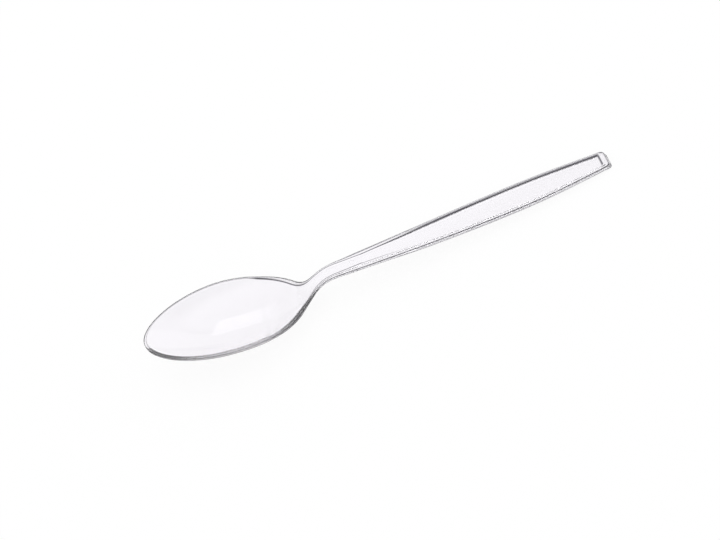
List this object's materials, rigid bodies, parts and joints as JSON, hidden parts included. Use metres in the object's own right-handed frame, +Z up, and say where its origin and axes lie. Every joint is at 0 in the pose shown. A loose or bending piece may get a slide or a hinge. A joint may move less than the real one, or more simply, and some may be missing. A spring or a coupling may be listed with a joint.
{
  "type": "disposable plastic spoon",
  "caption": "Clear disposable spoon with an oval bowl, a bent neck and a long handle with a raised border around a recessed panel.",
  "frame": {"origin": "bottom centre of the bounding box, on the surface that the spoon lies on", "axes": "+X from the bowl's tip to the handle's end, +Y across the spoon, +Z up out of the bowl"},
  "size_m": [0.1674, 0.0362, 0.0163],
  "materials": {
    "clear_plastic": "clear polished crystal polystyrene"
  },
  "bodies": {
    "root": {"spoon": "clear_plastic"}
  },
  "joints": []
}
